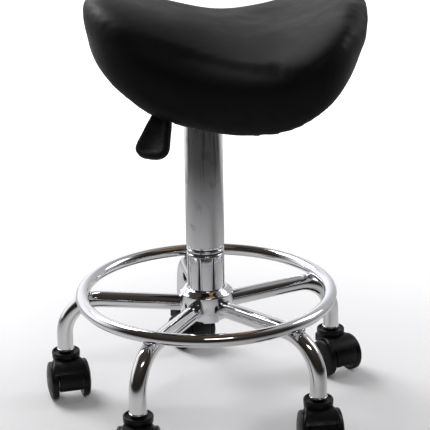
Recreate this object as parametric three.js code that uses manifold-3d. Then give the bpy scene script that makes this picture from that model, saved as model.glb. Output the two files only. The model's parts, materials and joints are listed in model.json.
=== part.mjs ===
// A saddle stool on casters: a chromed five-leg base with a foot ring, a gas lift with its release
// lever, and a saddle-shaped seat. Millimetres, +Z up. The origin is on the floor on the column's
// axis, and +X runs from the pommel (the seat's low front) to the cantle (its high back).
import * as THREE from "three";
import { mergeVertices } from "three/addons/utils/BufferGeometryUtils.js";
import Module from "manifold-3d";

const wasm = await Module();
wasm.setup();

// ---------------------------------------------------------------- driving dimensions
const GAP = 0.3; // between two pieces that touch

const LEG_COUNT = 5;
const FIRST_LEG_ANGLE = 171.4; // degrees from +X; the others follow every 72 degrees
const LEG_RADIUS = 11;
const LEG_WALL = 1.5;
const LEG_AXIS_Z = 140;
const LEG_BOTTOM_Z = 67;
const LEG_INNER_END = 29.5; // distance of the tube's end from the column's axis
const LEG_BEND_RADIUS = 54;
const STEM_CIRCLE = 197; // radius of the circle that the caster stems stand on

const RING_RADIUS = 165.5;
const RING_TUBE_RADIUS = 8.8;
const RING_Z = 156.5;

const HUB = { bottom: 123, lobeTop: 160, top: 166, lip: 28, lobe: 35.6, core: 29.2, bore: 25.3 };
const SLEEVE = { bottom: 126, shoulder: 214, top: 221, radius: 25, bore: 22.4 };
const FLUTE = { count: 8, phase: 24.6, depth: 1.2, topWidth: 1.4, bottomWidth: 3, bottom: 167.5 };
const TUBE = { bottom: 132, floor: 136, step: 224.5, top: 410, radius: 25.4, lower: 22, wall: 2 };
const CYLINDER = { bottom: 160, taper: 420, top: 444, radius: 14, bore: 12 };
const ROD = { bottom: 124, clip: 129.8, foot: 4, radius: 5, top: 314 };

const WHEEL = { radius: 26, inner: 16.8, tread: 25, outer: 29.5, bore: 4.3, sides: 18 };
const TRAIL = 15; // the axle's distance behind the stem
const CASTER_TOP = 62.5;
const CASTER_TURNS = [-76, -91, -84, -59, -52]; // where each caster trails to, degrees from +X
const STEM_RADIUS = 5.5;

const PLATE = { bottom: 466, thickness: 2.7, x: 18, length: 140, width: 110, screws: [56, 47] };
const PIN_RADIUS = 3; // the lever's pivot and the lift's release pin
const LEVER = {
  angle: 244.5, // degrees from +X
  z: 454,
  pivot: 32, // distance of the pivot from the column's axis
  barEnd: 48,
  rodRadius: 4,
  bendStart: 84,
  bendRadius: 20,
  slope: 50, // degrees below level of the handle's end
  gripStart: 101,
  gripLength: 79,
  gripThickness: 10.4,
};

const SEAT = {
  middle: 29.4, // the outline's middle on X
  halfLength: 177.6,
  halfWidth: 172,
  widening: 0.43, // how much wider the cantle's end is than the pommel's
  squareness: 0.53,
  dip: [79, 524], // x and z of the ridge's lowest point
  rise: { pommel: 0.001, cantle: 0.0032 }, // the ridge's curvature on each side of it
  crown: 2.1, // 2 makes an elliptic cross-section, more a flatter one
  rimLow: 417, // the rim's z at the flaps
  rimRise: { pommel: 62, cantle: 72 },
  rimPower: 2.4,
  sideHeight: 55, // from the rim up to the widest line
  sideInset: 0.12, // the rim's inset from that line, as a share of the outline
  underside: 469,
  flat: 0.58, // how far out the underside is level
  board: 0.7, // the board's edge
  boardThickness: 8.5,
};

// ---------------------------------------------------------------- geometry helpers
const radians = THREE.MathUtils.degToRad;

// A closed geometry as a manifold-3d solid that faces outwards.
function solid(geometry) {
  const bare = new THREE.BufferGeometry();
  const source = geometry.index ? geometry.toNonIndexed() : geometry;
  bare.setAttribute("position", source.getAttribute("position"));
  const merged = mergeVertices(bare, 1e-4);
  const corners = merged.index.array;
  const kept = [];
  for (let i = 0; i < corners.length; i += 3) {
    const [a, b, c] = corners.slice(i, i + 3);
    if (a !== b && b !== c && c !== a) kept.push(a, b, c);
  }
  const make = (order) =>
    new wasm.Manifold(
      new wasm.Mesh({
        numProp: 3,
        vertProperties: merged.getAttribute("position").array,
        triVerts: new Uint32Array(order),
      }),
    );
  const made = make(kept);
  return made.volume() < 0 ? make(kept.reverse()) : made;
}

// A manifold-3d solid as a geometry that a THREE.Mesh can show.
function geometryOf(manifold) {
  const { numProp, vertProperties, triVerts } = manifold.getMesh();
  const positions = new Float32Array((vertProperties.length / numProp) * 3);
  for (let i = 0; i < positions.length / 3; i++) {
    positions.set(vertProperties.subarray(i * numProp, i * numProp + 3), i * 3);
  }
  const geometry = new THREE.BufferGeometry();
  geometry.setAttribute("position", new THREE.BufferAttribute(positions, 3));
  geometry.setIndex(new THREE.BufferAttribute(new Uint32Array(triVerts), 1));
  geometry.computeVertexNormals();
  return geometry;
}

// A solid of revolution about Z from [radius, z] points.
function turned(profile, sides = 24) {
  const points = profile.map(([r, z]) => new THREE.Vector2(r, z));
  return new THREE.LatheGeometry(points, sides).rotateX(Math.PI / 2);
}

// The same for a ring or tube, whose profile closes on itself off the axis.
function turnedRing(profile, sides = 24) {
  return turned([...profile, profile[0]], sides);
}

function cylinder(radius, bottom, top, sides = 16) {
  return turned([[0, bottom], [radius, bottom], [radius, top], [0, top]], sides);
}

function box(width, depth, height, x = 0, y = 0, z = 0) {
  return new THREE.BoxGeometry(width, depth, height).translate(x, y, z);
}

// A plate drawn in the XZ plane and given a thickness that is centred on Y.
function sidePlate(shape, thickness, curveSegments = 12) {
  return new THREE.ExtrudeGeometry(shape, { depth: thickness, bevelEnabled: false, curveSegments })
    .rotateX(Math.PI / 2)
    .translate(0, thickness / 2, 0);
}

function circle(radius) {
  return new THREE.Shape().absarc(0, 0, radius, 0, 2 * Math.PI, false);
}

// A path of straight, arc and straight pieces in the XZ plane, turning down from +X. Each station
// of the sweep is placed by count, so that the straight pieces take one step each.
class BentPath extends THREE.Curve {
  constructor({ start, level, bend, turn, drop, bendSteps }) {
    super();
    Object.assign(this, { start, level, bend, turn, drop, bendSteps });
  }
  get steps() {
    return this.bendSteps + 2;
  }
  getUtoTmapping(u) {
    return u;
  }
  getPoint(t) {
    const station = t * this.steps;
    const { start, level, bend, turn, drop, bendSteps } = this;
    if (station <= 1) return new THREE.Vector3(start + (level - start) * station, 0, 0);
    const turned = turn * Math.min((station - 1) / bendSteps, 1);
    const past = drop * Math.max(station - 1 - bendSteps, 0);
    return new THREE.Vector3(
      level + bend * Math.sin(turned) + past * Math.cos(turned),
      0,
      -bend * (1 - Math.cos(turned)) - past * Math.sin(turned),
    );
  }
}

function sweep(shape, path) {
  return new THREE.ExtrudeGeometry(shape, {
    steps: path.steps,
    extrudePath: path,
    bevelEnabled: false,
    curveSegments: 6,
  });
}

// ---------------------------------------------------------------- materials
const finish = (color, roughness, metalness) =>
  new THREE.MeshStandardMaterial({ color, roughness, metalness });
const CHROME = finish(0xd6d8da, 0.07, 1);
const STEEL = finish(0x8f9296, 0.35, 1);
const BLACK_STEEL = finish(0x16171a, 0.45, 0.6);
const NYLON = finish(0x0d0d0e, 0.4, 0);
const BUSH_PLASTIC = finish(0x1b1b1d, 0.5, 0);
const RUBBER = finish(0x111111, 0.8, 0);
const VINYL = finish(0x0a0a0b, 0.42, 0);
const PLYWOOD = finish(0xb08a5a, 0.7, 0);
const FOAM = finish(0xd9cfa8, 0.95, 0);

const stool = new THREE.Group();

function add(parent, name, shape, material) {
  const geometry = shape.isBufferGeometry ? geometryOf(solid(shape)) : geometryOf(shape);
  const mesh = new THREE.Mesh(geometry, material);
  mesh.name = name;
  parent.add(mesh);
  return mesh;
}

function turnedGroup(angle, x = 0, z = 0) {
  const group = new THREE.Group();
  group.rotation.z = radians(angle);
  group.position.set(x * Math.cos(radians(angle)), x * Math.sin(radians(angle)), z);
  stool.add(group);
  return group;
}

// ---------------------------------------------------------------- base
// The cast hub: a core tube with five lobes, and between them a slot for each leg.
function hub() {
  const { bottom, lobeTop, top, lip, lobe, core, bore } = HUB;
  let body = solid(
    turned([[0, bottom], [lobe, bottom + 1.5], [lobe, lobeTop - 2], [lobe - 3, lobeTop], [lip, top], [0, top]], 30),
  );
  const slotHalf = LEG_RADIUS + 0.5;
  for (let i = 0; i < LEG_COUNT; i++) {
    const angle = radians(FIRST_LEG_ANGLE + (i * 360) / LEG_COUNT);
    const round = cylinder(slotHalf, core, lobe + 5, 16).rotateY(Math.PI / 2).translate(0, 0, LEG_AXIS_Z);
    const below = box(lobe + 5 - core, 2 * slotHalf, 30, (core + lobe + 5) / 2, 0, LEG_AXIS_Z - 15);
    body = body.subtract(solid(round.rotateZ(angle))).subtract(solid(below.rotateZ(angle)));
  }
  return body.subtract(solid(cylinder(bore, bottom - 5, top + 5, 30)));
}

// The chromed sleeve that wedges the lift into the hub, with tapering flutes round it.
function taperSleeve() {
  const { bottom, shoulder, top, radius, bore } = SLEEVE;
  let body = solid(
    turnedRing(
      [[bore, bottom], [radius, bottom], [radius, shoulder], [radius - 1, shoulder + 1], [radius - 1, top - 3.5],
        [radius, top - 3], [radius, top - 0.8], [radius - 0.8, top], [bore, top]],
      30,
    ),
  );
  const { count, phase, depth, topWidth, bottomWidth } = FLUTE;
  const wedge = new THREE.Shape([
    new THREE.Vector2(-topWidth / 2, shoulder - 3),
    new THREE.Vector2(topWidth / 2, shoulder - 3),
    new THREE.Vector2(bottomWidth / 2, FLUTE.bottom),
    new THREE.Vector2(-bottomWidth / 2, FLUTE.bottom),
  ]);
  for (let i = 0; i < count; i++) {
    const flute = sidePlate(wedge, 4).rotateZ(-Math.PI / 2).translate(radius - depth + 2, 0, 0);
    body = body.subtract(solid(flute.rotateZ(radians(phase + (i * 360) / count))));
  }
  return body;
}

// The lift's standing tube: narrow inside the sleeve, full width above it, with a floor for the bearing.
function standTube() {
  const { bottom, floor, step, top, radius, lower, wall } = TUBE;
  return turnedRing(
    [[5.5, bottom], [lower - 0.6, bottom], [lower, SLEEVE.shoulder], [lower, step - 2],
      [radius - 1, step - 2], [radius, step - 0.5], [radius, top], [radius - wall, top],
      [radius - wall, step + 5], [lower - 2.5, step + 1], [lower - 2.5, floor], [5.5, floor]],
    30,
  );
}

function guideBush() {
  const inner = CYLINDER.radius + GAP;
  const outer = TUBE.radius - TUBE.wall - GAP;
  const top = TUBE.top + 3;
  return turnedRing(
    [[inner, 350], [outer, 350], [outer, TUBE.top + GAP], [TUBE.radius, TUBE.top + GAP],
      [TUBE.radius, top - 1], [TUBE.radius - 1.5, top], [inner, top]],
    28,
  );
}

function legTube() {
  const path = new BentPath({
    start: LEG_INNER_END,
    level: STEM_CIRCLE - LEG_BEND_RADIUS,
    bend: LEG_BEND_RADIUS,
    turn: Math.PI / 2,
    drop: LEG_AXIS_Z - LEG_BEND_RADIUS - LEG_BOTTOM_Z,
    bendSteps: 5,
  });
  const section = circle(LEG_RADIUS);
  section.holes.push(new THREE.Path().absarc(0, 0, LEG_RADIUS - LEG_WALL, 0, 2 * Math.PI, true));
  return sweep(section, path);
}

// The socket in a leg's end, with the flange that shows under the tube.
function legSocket() {
  const bore = STEM_RADIUS + 0.4;
  const outer = LEG_RADIUS - LEG_WALL - 0.7;
  const flange = LEG_BOTTOM_Z - GAP;
  return turnedRing(
    [[bore, flange - 1.8], [LEG_RADIUS + 1, flange - 1.8], [LEG_RADIUS + 1, flange], [outer, flange],
      [outer, LEG_BOTTOM_Z + 21], [bore, LEG_BOTTOM_Z + 21]],
    12,
  );
}

function addBase() {
  add(stool, "hub", hub(), CHROME);
  add(stool, "taper_sleeve", taperSleeve(), CHROME);
  add(stool, "stand_tube", standTube(), CHROME);
  add(stool, "guide_bush", guideBush(), BUSH_PLASTIC);
  const ring = new THREE.TorusGeometry(RING_RADIUS, RING_TUBE_RADIUS, 10, 40);
  add(stool, "foot_ring", ring, CHROME).position.z = RING_Z;
  const bearingFloor = TUBE.floor + GAP;
  const race = turnedRing([[9, bearingFloor], [18, bearingFloor], [18, bearingFloor + 2], [9, bearingFloor + 2]], 18);
  add(stool, "lower_race", race, STEEL);
  for (let i = 0; i < LEG_COUNT; i++) {
    const angle = FIRST_LEG_ANGLE + (i * 360) / LEG_COUNT;
    add(turnedGroup(angle, 0, LEG_AXIS_Z), `leg_${i + 1}`, legTube(), CHROME);
    add(turnedGroup(angle, STEM_CIRCLE), `leg_socket_${i + 1}`, legSocket(), CHROME);
  }
}

// ---------------------------------------------------------------- lift spindle
// What turns in the standing tube but doesn't rise: the rod with its piston, bearing and clip.
function ballCage(bottom) {
  let cage = solid(turnedRing([[10, bottom + 1], [17, bottom + 1], [17, bottom + 2], [10, bottom + 2]], 12));
  const ballCircle = 13.5;
  for (let i = 0; i < 6; i++) {
    const ball = new THREE.SphereGeometry(1.5, 6, 4).translate(ballCircle, 0, bottom + 1.5);
    cage = cage.add(solid(ball.rotateZ((i * Math.PI) / 3)));
  }
  return cage;
}

function rodClip() {
  const outline = new THREE.Shape().absarc(0, 0, 11, radians(25), radians(335), false);
  outline.absarc(0, 0, ROD.foot - 0.7, radians(335), radians(25), true);
  return new THREE.ExtrudeGeometry(outline, { depth: 1.2, bevelEnabled: false, curveSegments: 10 });
}

function addSpindle() {
  const { bottom, clip, foot, radius, top } = ROD;
  const neck = foot - 1;
  const cageZ = TUBE.floor + 2 * GAP + 2;
  const raceZ = cageZ + 3 + GAP;
  const shoulder = raceZ + 2 + GAP;
  const rod = turned(
    [[0, bottom], [foot, bottom], [foot, clip - GAP], [neck, clip - GAP], [neck, clip + 1.5],
      [foot, clip + 1.5], [foot, shoulder], [radius, shoulder], [radius, top], [0, top]],
    14,
  );
  add(stool, "piston_rod", rod, STEEL);
  add(stool, "rod_clip", rodClip(), STEEL).position.z = clip;
  add(stool, "ball_cage", ballCage(cageZ), STEEL);
  const raceBore = foot + GAP;
  const race = turnedRing([[raceBore, raceZ], [18, raceZ], [18, raceZ + 2], [raceBore, raceZ + 2]], 18);
  add(stool, "upper_race", race, STEEL);
  const bore = radius + GAP;
  const stopTop = CYLINDER.bottom - GAP;
  const stop = turnedRing([[bore, shoulder], [13, shoulder], [11, stopTop], [bore, stopTop]], 16);
  add(stool, "bump_stop", stop, RUBBER);
  const piston = [top - 14, top - 2];
  const pistonRadius = CYLINDER.bore - GAP;
  const ring = [[bore, piston[0]], [pistonRadius, piston[0]], [pistonRadius, piston[1]], [bore, piston[1]]];
  add(stool, "piston", turnedRing(ring, 16), BUSH_PLASTIC);
}

// ---------------------------------------------------------------- rising part: cylinder and seat frame
function gasCylinder() {
  const { bottom, taper, top, radius, bore } = CYLINDER;
  const rodHole = ROD.radius + GAP;
  const pinHole = PIN_RADIUS + GAP;
  return turnedRing(
    [[rodHole, bottom], [radius, bottom], [radius, taper], [radius - 0.7, top], [pinHole, top],
      [pinHole, top - 6], [bore, top - 10], [bore, bottom + 6], [rodHole, bottom + 6]],
    24,
  );
}

// The four places on the seat plate that a screw goes through.
const screwPlaces = [-1, 1].flatMap((a) =>
  [-1, 1].map((b) => [PLATE.x + a * PLATE.screws[0], b * PLATE.screws[1]]),
);

function drillForScrews(manifold) {
  let body = manifold;
  for (const [x, y] of screwPlaces) {
    const hole = cylinder(3 + GAP, PLATE.bottom - 5, PLATE.bottom + 30, 12).translate(x, y, 0);
    body = body.subtract(solid(hole));
  }
  return body;
}

// The pressed seat plate with the channel under it that holds the lift's cone and the lever.
function seatPlate() {
  const { bottom, thickness, x, length, width } = PLATE;
  const angle = radians(LEVER.angle);
  const floor = 436;
  const cheek = bottom + 1 - floor;
  const channel = [
    box(76, 46, 3, 6, 0, floor + 1.5),
    box(76, 3, cheek, 6, 21.5, floor + cheek / 2),
    box(76, 3, cheek, 6, -21.5, floor + cheek / 2),
    cylinder(18.5, 418, floor + 1, 24),
  ];
  let body = solid(box(length, width, thickness, x, 0, bottom + thickness / 2));
  for (const piece of channel) body = body.add(solid(piece.rotateZ(angle)));
  const { radius, taper } = CYLINDER;
  const cone = [[0, 410], [radius + GAP, 410], [radius + GAP, taper + 1], [radius - 0.4, floor + 5], [0, floor + 5]];
  body = body.subtract(solid(turned(cone, 24)));
  const pinBore = cylinder(PIN_RADIUS + GAP, -30, 30, 12).rotateX(Math.PI / 2);
  body = body.subtract(solid(pinBore.translate(LEVER.pivot, 0, LEVER.z).rotateZ(angle)));
  return drillForScrews(body);
}

function seatScrew() {
  const under = PLATE.bottom - GAP;
  const profile = [[0, under - 4], [5, under - 4], [6.5, under - 1], [6.5, under], [3, under], [3, under + 9],
    [0, under + 11]];
  return turned(profile, 12);
}

// ---------------------------------------------------------------- seat surface
// The outline in plan at turn t, from the cantle (0) by the +Y flap to the pommel (pi).
function outline(t, share = 1) {
  const c = Math.cos(t);
  const wide = 1 + SEAT.widening * c + SEAT.squareness * c * c;
  return [SEAT.middle + share * SEAT.halfLength * c, share * SEAT.halfWidth * Math.sin(t) * wide];
}

function ridge(x) {
  const away = x - SEAT.dip[0];
  return SEAT.dip[1] + (away < 0 ? SEAT.rise.pommel : SEAT.rise.cantle) * away * away;
}

function rim(t) {
  const c = Math.cos(t);
  return SEAT.rimLow + (c < 0 ? SEAT.rimRise.pommel : SEAT.rimRise.cantle) * Math.abs(c) ** SEAT.rimPower;
}

// The upholstery's top at turn t and share s of the way out to its widest line.
function topPoint(t, s) {
  const [x, y] = outline(t, s);
  const level = rim(t) + SEAT.sideHeight;
  const power = SEAT.crown + 1.5 * Math.cos(t) ** 2;
  return [x, y, level + (ridge(x) - level) * (1 - s ** power) ** (1 / power)];
}

// The lower quarter of the rounded side, from the widest line (0) in to the rim (1).
function sidePoint(t, u) {
  const [x, y] = outline(t, 1 - SEAT.sideInset * (1 - Math.cos((u * Math.PI) / 2)));
  return [x, y, rim(t) + SEAT.sideHeight * (1 - Math.sin((u * Math.PI) / 2))];
}

// The underside at share s: level over the plate, then falling or rising with the rim.
function underPoint(t, s, lift = 0) {
  const bend = THREE.MathUtils.smoothstep(s, SEAT.flat, 0.92) ** 1.5;
  return [...outline(t, s), SEAT.underside + lift + (rim(t) + 2 - SEAT.underside) * bend];
}

// A closed skin through rings of points, capped by one point at each end. From the ring numbered
// back on, the rings retrace a surface, so their faces are split along the matching diagonal.
function skin(rings, first, last, back = rings.length) {
  const count = rings[0].length;
  const points = [first, ...rings.flat(), last];
  const end = points.length - 1;
  const at = (ring, i) => 1 + ring * count + (i % count);
  const faces = [];
  for (let i = 0; i < count; i++) {
    faces.push(0, at(0, i), at(0, i + 1));
    for (let k = 0; k + 1 < rings.length; k++) {
      const [a, b, c, d] = [at(k, i), at(k + 1, i), at(k + 1, i + 1), at(k, i + 1)];
      if (k < back) faces.push(a, b, c, a, c, d);
      else faces.push(a, b, d, b, c, d);
    }
    faces.push(end, at(rings.length - 1, i + 1), at(rings.length - 1, i));
  }
  const geometry = new THREE.BufferGeometry();
  geometry.setAttribute("position", new THREE.Float32BufferAttribute(points.flat(), 3));
  geometry.setIndex(faces);
  return geometry;
}

const TURNS = Array.from({ length: 32 }, (_, i) => (i * 2 * Math.PI) / 32);
const ringOf = (point, ...where) => TURNS.map((t) => point(t, ...where));
const BOARD_SHARES = [0.28, SEAT.flat, 0.65, SEAT.board];
const BOARD_EDGE = SEAT.board + 0.004;
const COVER_THICKNESS = 1.5;

function seatBoard() {
  const thick = SEAT.boardThickness;
  const under = BOARD_SHARES.map((s) => ringOf(underPoint, s));
  const over = BOARD_SHARES.map((s) => ringOf(underPoint, s, thick)).reverse();
  const middle = (z) => [SEAT.middle, 0, z];
  const board = solid(skin([...under, ...over], middle(SEAT.underside), middle(SEAT.underside + thick)));
  return drillForScrews(board);
}

// The rings of the padding's outside, from the crown round to the board's edge, sunk by depth.
function paddingRings(depth) {
  const shrink = 1 - depth / SEAT.halfWidth;
  const sink = (point, lift) => (t, s) => {
    const [x, y, z] = point(t, s);
    return [SEAT.middle + (x - SEAT.middle) * shrink, y * shrink, z + lift * depth];
  };
  const top = [0.25, 0.5, 0.7, 0.85, 0.95, 1].map((s) => ringOf(sink(topPoint, -1), s));
  const side = [0.35, 0.7, 1].map((u) => ringOf(sink(sidePoint, u), u));
  const under = [0.8, BOARD_EDGE].map((s) => ringOf((t) => underPoint(t, s, depth)));
  return [...top, ...side, ...under];
}

const crown = (depth) => [SEAT.middle, 0, topPoint(Math.PI / 2, 0)[2] - depth];

// The vinyl cover, stretched over the foam and turned under it as far as the board.
function seatCover() {
  const outside = paddingRings(0);
  const inside = paddingRings(COVER_THICKNESS).reverse();
  return solid(skin([...outside, ...inside], crown(0), crown(COVER_THICKNESS), outside.length));
}

// The foam, with a recess in its underside that the board fills.
function seatFoam() {
  const over = SEAT.boardThickness + GAP;
  const recess = [...BOARD_SHARES.slice(0, 3), BOARD_EDGE].reverse().map((s) => ringOf(underPoint, s, over));
  const depth = COVER_THICKNESS + GAP;
  return solid(skin([...paddingRings(depth), ...recess], crown(depth), [SEAT.middle, 0, SEAT.underside + over]));
}

function addSeat() {
  add(stool, "gas_cylinder", gasCylinder(), BLACK_STEEL);
  add(stool, "seat_plate", seatPlate(), BLACK_STEEL);
  add(stool, "seat_board", seatBoard(), PLYWOOD);
  add(stool, "seat_foam", seatFoam(), FOAM);
  add(stool, "seat_cover", seatCover(), VINYL);
  screwPlaces.forEach(([x, y], i) => {
    add(stool, `seat_screw_${i + 1}`, seatScrew(), STEEL).position.set(x, y, 0);
  });
}

// ---------------------------------------------------------------- release lever
function leverArm() {
  const { pivot, barEnd, rodRadius, bendStart, bendRadius, slope, gripStart } = LEVER;
  const bar = box(barEnd + 6, 6, 12, (barEnd - 6) / 2, 0, 0);
  const pivotTube = cylinder(5.5, -19.6, 19.6, 14).rotateX(Math.PI / 2).translate(pivot, 0, 0);
  const path = new BentPath({
    start: barEnd - 4,
    level: bendStart,
    bend: bendRadius,
    turn: radians(slope),
    drop: (gripStart + 14 - bendStart - bendRadius * Math.sin(radians(slope))) / Math.cos(radians(slope)),
    bendSteps: 4,
  });
  const rod = sweep(circle(rodRadius), path);
  const bore = cylinder(PIN_RADIUS + GAP, -25, 25, 12).rotateX(Math.PI / 2).translate(pivot, 0, 0);
  return solid(bar).add(solid(pivotTube)).add(solid(rod)).subtract(solid(bore));
}

// The paddle: drawn flat along +X, bored for the rod, then tipped to the handle's slope.
function leverGrip() {
  const { gripLength, gripThickness, slope, rodRadius, bendStart, bendRadius, gripStart } = LEVER;
  const neck = 8;
  const end = 22;
  const shape = new THREE.Shape();
  shape.moveTo(0, -neck);
  shape.lineTo(gripLength - 18, -end);
  shape.quadraticCurveTo(gripLength, -end, gripLength, 0);
  shape.quadraticCurveTo(gripLength, end, gripLength - 18, end);
  shape.lineTo(0, neck);
  const extrusion = { depth: gripThickness, bevelEnabled: false, curveSegments: 5 };
  const paddle = new THREE.ExtrudeGeometry(shape, extrusion);
  const bore = cylinder(rodRadius + GAP, -5, 30, 12).rotateY(Math.PI / 2);
  const tip = radians(slope);
  const bendEnd = bendStart + bendRadius * Math.sin(tip);
  const bendDrop = bendRadius * (1 - Math.cos(tip)) + (gripStart - bendEnd) * Math.tan(tip);
  const body = solid(paddle.translate(0, 0, -gripThickness / 2)).subtract(solid(bore));
  return solid(geometryOf(body).rotateY(tip).translate(gripStart, 0, -bendDrop));
}

function addLever() {
  const group = turnedGroup(LEVER.angle, 0, LEVER.z);
  add(group, "lever_arm", leverArm(), BLACK_STEEL);
  add(group, "lever_grip", leverGrip(), NYLON);
  const half = 23 + GAP;
  const head = [[0, half], [5, half], [5, half + 1], [3.5, half + 2.2], [0, half + 2.2]];
  const tail = [[0, -half - 2], [4.2, -half - 2], [4.2, -half], [PIN_RADIUS, -half]];
  const pivotPin = turned([...tail, [PIN_RADIUS, half], ...head.slice(1)], 12);
  add(group, "lever_pivot_pin", pivotPin.rotateX(Math.PI / 2).translate(LEVER.pivot, 0, 0), STEEL);
  const top = LEVER.z - 6 - GAP;
  const releasePin = turned([[0, 430], [PIN_RADIUS, 430], [PIN_RADIUS, top - 1.5], [1.2, top], [0, top]], 12);
  add(stool, "release_pin", releasePin, STEEL);
}

// ---------------------------------------------------------------- casters
// Each caster is drawn with its stem on the Z axis, trailing to +X, and its axle along Y.
function casterWheel(side) {
  const { radius, inner, tread, outer, bore, sides } = WHEEL;
  const corner = radius / Math.cos(Math.PI / sides); // so that a flat of the tread meets the floor
  const profile = [[0, outer], [12, outer - 0.7], [21, outer - 2.6], [corner - 1, tread + 0.3], [corner, tread - 1],
    [corner, inner], [bore, inner], [bore, tread], [0, tread]];
  return turned(profile, sides)
    .rotateZ(Math.PI / sides)
    .rotateX((-side * Math.PI) / 2)
    .translate(TRAIL, 0, radius);
}

// An arc-shaped wall round the axle, between two angles from the trailing side.
function hoodArc(inner, outer, from, to, width) {
  const shape = new THREE.Shape().absarc(0, 0, outer, radians(from), radians(to), false);
  shape.absarc(0, 0, inner, radians(to), radians(from), true);
  return solid(sidePlate(shape, width, 5).translate(TRAIL, 0, WHEEL.radius));
}

function casterHood() {
  const { radius } = WHEEL;
  const fender = hoodArc(radius - 4, radius - 0.8, -15, 125, 32.4);
  const shield = hoodArc(radius + 0.6, radius + 2.4, 38, 130, 48);
  const web = hoodArc(6, radius - 0.8, 0, 125, 9);
  const joint = hoodArc(radius - 1.5, radius + 2, 38, 130, 32);
  const boss = solid(cylinder(9, -8, 8, 12).rotateX(Math.PI / 2).translate(TRAIL, 0, radius));
  const profile = [[0, 34], [11, 34], [16, 43], [16.1, 52.8], [19.4, 54], [19.4, 60], [18, CASTER_TOP],
    [0, CASTER_TOP]];
  const axleBore = solid(cylinder(4 + GAP, -20, 20, 12).rotateX(Math.PI / 2).translate(TRAIL, 0, radius));
  const stemBore = solid(cylinder(STEM_RADIUS + GAP, 40, CASTER_TOP + 5, 12));
  let hood = solid(turned(profile, 16));
  for (const piece of [fender, shield, web, joint, boss]) hood = hood.add(piece);
  return hood.subtract(axleBore).subtract(stemBore);
}

function casterStem() {
  const flange = CASTER_TOP + GAP;
  return turned(
    [[0, 40 + GAP], [STEM_RADIUS, 40 + GAP], [STEM_RADIUS, flange], [9, flange], [9, flange + 1.6],
      [STEM_RADIUS, flange + 1.6], [STEM_RADIUS, 92], [STEM_RADIUS - 1.5, 94.5], [0, 94.5]],
    12,
  );
}

function addCasters() {
  for (let i = 0; i < LEG_COUNT; i++) {
    const legAngle = radians(FIRST_LEG_ANGLE + (i * 360) / LEG_COUNT);
    const group = new THREE.Group();
    group.position.set(STEM_CIRCLE * Math.cos(legAngle), STEM_CIRCLE * Math.sin(legAngle), 0);
    group.rotation.z = radians(CASTER_TURNS[i]);
    stool.add(group);
    const n = i + 1;
    add(group, `caster_hood_${n}`, casterHood(), NYLON);
    add(group, `caster_stem_${n}`, casterStem(), STEEL);
    const end = WHEEL.tread - 0.4;
    const axle = cylinder(4, -end, end, 12).rotateX(Math.PI / 2).translate(TRAIL, 0, WHEEL.radius);
    add(group, `caster_axle_${n}`, axle, STEEL);
    add(group, `caster_wheel_a_${n}`, casterWheel(1), NYLON);
    add(group, `caster_wheel_b_${n}`, casterWheel(-1), NYLON);
  }
}

addBase();
addSpindle();
addSeat();
addLever();
addCasters();

export default stool;
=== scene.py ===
# The looks of a saddle stool on casters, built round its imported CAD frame. Metres, +Z up.
import json
import math

import bmesh
import bpy
import numpy as np
from mathutils import Matrix, Vector, kdtree, noise


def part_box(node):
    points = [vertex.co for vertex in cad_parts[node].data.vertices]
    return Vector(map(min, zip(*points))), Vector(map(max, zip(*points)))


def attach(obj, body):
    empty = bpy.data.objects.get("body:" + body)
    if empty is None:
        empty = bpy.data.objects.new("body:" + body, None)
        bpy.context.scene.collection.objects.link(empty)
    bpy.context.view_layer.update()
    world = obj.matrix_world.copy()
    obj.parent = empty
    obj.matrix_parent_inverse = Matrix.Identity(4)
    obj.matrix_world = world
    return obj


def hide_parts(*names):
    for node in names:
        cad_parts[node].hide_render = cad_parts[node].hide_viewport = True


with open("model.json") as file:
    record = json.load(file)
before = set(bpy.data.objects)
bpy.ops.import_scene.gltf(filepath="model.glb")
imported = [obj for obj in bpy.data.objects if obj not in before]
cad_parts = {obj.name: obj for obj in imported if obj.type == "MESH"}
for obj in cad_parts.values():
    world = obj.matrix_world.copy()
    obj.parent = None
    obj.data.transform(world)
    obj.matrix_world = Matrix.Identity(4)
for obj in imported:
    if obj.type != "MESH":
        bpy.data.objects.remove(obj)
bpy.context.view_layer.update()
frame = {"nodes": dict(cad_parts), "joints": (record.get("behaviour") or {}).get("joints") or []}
joints = {joint["name"]: joint for joint in frame["joints"]}

MM = 0.001
LEGS = range(1, 6)

# The driving dimensions are in mm and degrees. So are the profiles, which Shape.mesh turns into metres.
HUB_RADIUS = 35.6
HUB_BORE = 25.4
HUB_LOBE_HEIGHT = 37
SLOT_START = 29.2  # a leg's slot in the hub, from the axis outwards
SLOT_END = 42
SLEEVE_RADIUS = 25
FLUTE_COUNT = 8
FLUTE_PHASE = 24.6
FLUTE_DEPTH = 2
FLUTE_TOP = 211
FLUTE_LENGTH = 43
FLUTE_NARROW = 1.6  # its width at the top
FLUTE_WIDE = 3.5  # and at the bottom
TUBE_RADIUS = 25.4
LEG_RADIUS = 11
LEG_WALL = 1.5
LEG_BEND = 54
LEG_START = 29.5
LEG_SIDES = 40
TRAIL = 15  # from a caster's stem back to its axle
AXLE_BORE = 4.3
WHEEL_RADIUS = 26
WHEEL_INNER = 16.8  # the wheel's two sides, from the caster's middle
WHEEL_OUTER = 29.5
PANEL_HALF = 16.5  # half the width of the hood between the wheels
PLATE_THICKNESS = 2.7
CHANNEL_FLOOR = 436
LEVER_TURN = 244.5  # from +X
LEVER_SLOPE = 50
LEVER_LEVEL = 84  # where the rod starts to bend, from the axis
LEVER_BEND = 20
GRIP_START = 101
GRIP_OVERLAP = 14  # how far the rod runs into the paddle
GRIP_LENGTH = 79


def linked(name, data):
    """A new object in the scene."""
    made = bpy.data.objects.new(name, data)
    bpy.context.scene.collection.objects.link(made)
    return made


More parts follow.
